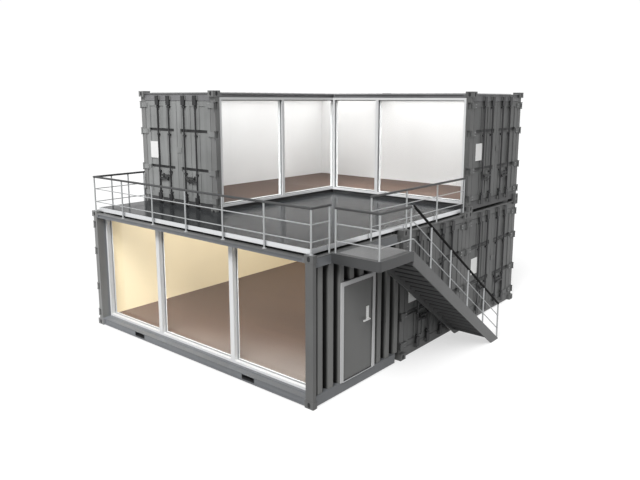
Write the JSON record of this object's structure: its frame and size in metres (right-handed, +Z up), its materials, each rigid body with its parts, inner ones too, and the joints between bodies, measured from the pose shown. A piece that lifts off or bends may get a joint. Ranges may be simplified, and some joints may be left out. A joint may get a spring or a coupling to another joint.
{
  "type": "shipping container cabin",
  "caption": "Two-storey cabin of stacked steel shipping containers with glazed rooms, a railed roof terrace, an outside stair, an entrance door and cargo doors.",
  "frame": {"origin": "ground level at the outer front-left corner of the front container's corner casting", "axes": "+X along the glazed front to the right, towards the stair; +Y from the glazed front to the back; +Z up"},
  "size_m": [6.935, 7.314, 4.876],
  "materials": {
    "container_paint": "satin dark grey paint on corrugated and rolled steel",
    "rail_paint": "satin blue-grey paint on rolled steel",
    "door_hardware": "painted galvanised lock rods",
    "floor_boards": "brown floor boards, satin",
    "cream_lining": "cream painted lining board, matte",
    "white_lining": "white painted lining board, matte",
    "window_frame": "white powder coated profile",
    "window_glass": "clear sealed glass unit",
    "entrance_door_paint": "satin dark grey paint",
    "door_handle_metal": "brushed",
    "deck_board": "dark glossy deck sheets",
    "joist_paint": "dark grey paint on steel joists",
    "trim_aluminium": "bare aluminium trim",
    "railing_steel": "light metallic grey paint",
    "landing_paint": "mid grey paint on folded plate",
    "stair_paint": "dark grey paint on steel plate"
  },
  "bodies": {
    "cabin": {"lower_corner_posts": "container_paint", "upper_corner_posts": "container_paint", "front_unit_rails": "rail_paint", "middle_unit_rails": "container_paint", "rear_unit_rails": "container_paint", "upper_left_unit_rails": "container_paint", "upper_right_unit_rails": "container_paint", "entrance_wall_left": "container_paint", "entrance_wall_right": "container_paint", "entrance_wall_over_door": "container_paint", "left_end_walls": "container_paint", "rear_side_wall": "container_paint", "upper_left_side_wall": "container_paint", "upper_left_end_wall": "container_paint", "upper_right_back_wall": "container_paint", "ground_roof": "container_paint", "upper_roof": "container_paint", "lower_fixed_cargo_doors": "container_paint", "upper_cargo_doors": "container_paint", "fixed_lock_rods": "door_hardware", "ground_floor": "floor_boards", "upper_floor": "floor_boards", "ground_wall_linings": "cream_lining", "entrance_side_linings": "cream_lining", "lining_over_entrance": "cream_lining", "upper_wall_linings": "white_lining", "ground_ceiling": "white_lining", "upper_ceiling": "white_lining", "front_window_frame": "window_frame", "upper_left_window_frame": "window_frame", "upper_right_window_frame": "window_frame", "front_window_glass": "window_glass", "upper_window_glass": "window_glass", "entrance_door_frame": "window_frame", "deck_floor": "deck_board", "deck_joists": "joist_paint", "deck_edge_trim": "trim_aluminium", "front_railing": "railing_steel", "left_railing": "railing_steel", "right_railing": "railing_steel", "landing_railing": "railing_steel", "stair_railing": "railing_steel", "landing": "landing_paint", "stair_stringers": "stair_paint", "stair_treads": "stair_paint", "stair_risers": "stair_paint"},
    "entrance_door": {"entrance_door_leaf": "entrance_door_paint", "entrance_door_handles": "door_handle_metal"},
    "rear_door_left": {"rear_door_left": "container_paint", "rear_left_lock_rods": "door_hardware"},
    "rear_door_right": {"rear_door_right": "container_paint", "rear_right_lock_rods": "door_hardware"}
  },
  "joints": [
    {"name": "entrance_door_hinge", "type": "hinge", "parent": "cabin", "child": "entrance_door", "pos_m": [5.961, 0.758, 1], "axis": [0, 0, 1], "range_deg": [0, 100]},
    {"name": "rear_door_left_hinge", "type": "hinge", "parent": "cabin", "child": "rear_door_left", "pos_m": [6.038, 4.896, 1.2], "axis": [0, 0, -1], "range_deg": [0, 90]},
    {"name": "rear_door_right_hinge", "type": "hinge", "parent": "cabin", "child": "rear_door_right", "pos_m": [6.038, 7.294, 1.2], "axis": [0, 0, 1], "range_deg": [0, 240]}
  ]
}
